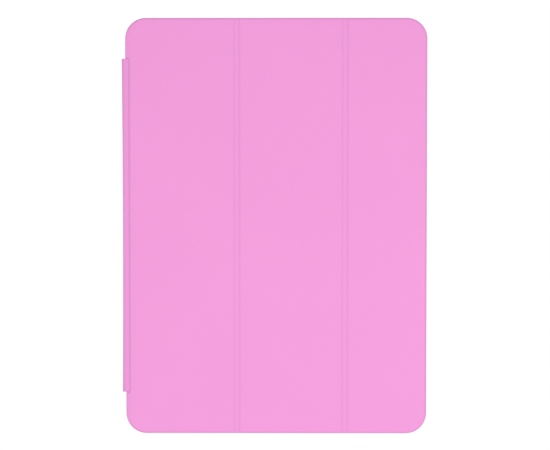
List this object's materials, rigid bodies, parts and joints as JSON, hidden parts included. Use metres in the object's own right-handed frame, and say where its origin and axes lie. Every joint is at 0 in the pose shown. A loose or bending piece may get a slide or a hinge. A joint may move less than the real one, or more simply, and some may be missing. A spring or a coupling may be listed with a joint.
{
  "type": "tablet case",
  "caption": "Slim folding tablet case: hard tray with soft skin, spine hinge, and a flat front cover of stiff panels that roll into a triangular stand.",
  "frame": {"origin": "middle of the tray's back face, the face that the closed case lies on", "axes": "+Z out of the closed cover; +Y along the tablet's long side, towards the power button; -X at the spine, +X at the cover's free edge"},
  "size_m": [0.1834, 0.2504, 0.0111],
  "materials": {
    "outer_skin": "matte soft-touch polyurethane",
    "lining": "brushed microfibre",
    "shell": "fine moulded texture",
    "stiff_board": "glass-fibre board",
    "steel": "rolled strip",
    "magnet": "nickel-plated magnet"
  },
  "bodies": {
    "tray": {"rear_shell": "shell", "rear_skin": "outer_skin", "tray_lining": "lining"},
    "spine": {"rear_hinge_web": "outer_skin", "spine_skin": "outer_skin", "spine_board": "stiff_board", "spine_lining": "lining"},
    "cover_edge": {"cover_hinge_web": "outer_skin"},
    "hinge_panel": {"hinge_panel_skin": "outer_skin", "hinge_panel_board": "stiff_board", "hinge_panel_lining": "lining", "stand_catch_plates": "steel", "crease_1_web": "outer_skin"},
    "middle_panel": {"middle_panel_skin": "outer_skin", "middle_panel_board": "stiff_board", "middle_panel_lining": "lining", "crease_2_web": "outer_skin"},
    "free_panel": {"free_panel_skin": "outer_skin", "free_panel_board": "stiff_board", "free_panel_lining": "lining", "closure_magnets": "magnet", "wake_magnet": "magnet"}
  },
  "joints": [
    {"name": "spine_hinge", "type": "hinge", "parent": "tray", "child": "spine", "pos_m": [-0.09185, 0, 0.001], "axis": [0, -1, 0], "range_deg": [0, 90]},
    {"name": "cover_hinge", "type": "hinge", "parent": "spine", "child": "cover_edge", "pos_m": [-0.09185, 0, 0.0101], "axis": [0, -1, 0], "range_deg": [0, 90]},
    {"name": "stand_swing", "type": "hinge", "parent": "cover_edge", "child": "hinge_panel", "pos_m": [-0.08905, 0, 0.01125], "axis": [0, -1, 0], "range_deg": [0, 180]},
    {"name": "fold_1", "type": "hinge", "parent": "hinge_panel", "child": "middle_panel", "pos_m": [-0.02395, 0, 0.0101], "axis": [0, 1, 0], "range_deg": [0, 133]},
    {"name": "fold_2", "type": "hinge", "parent": "middle_panel", "child": "free_panel", "pos_m": [0.04115, 0, 0.0101], "axis": [0, 1, 0], "range_deg": [0, 114.8]}
  ],
  "couplings": [
    {"joint": "fold_1", "follows": "stand_swing", "ratio": 0.73889},
    {"joint": "fold_2", "follows": "stand_swing", "ratio": 0.63778}
  ]
}
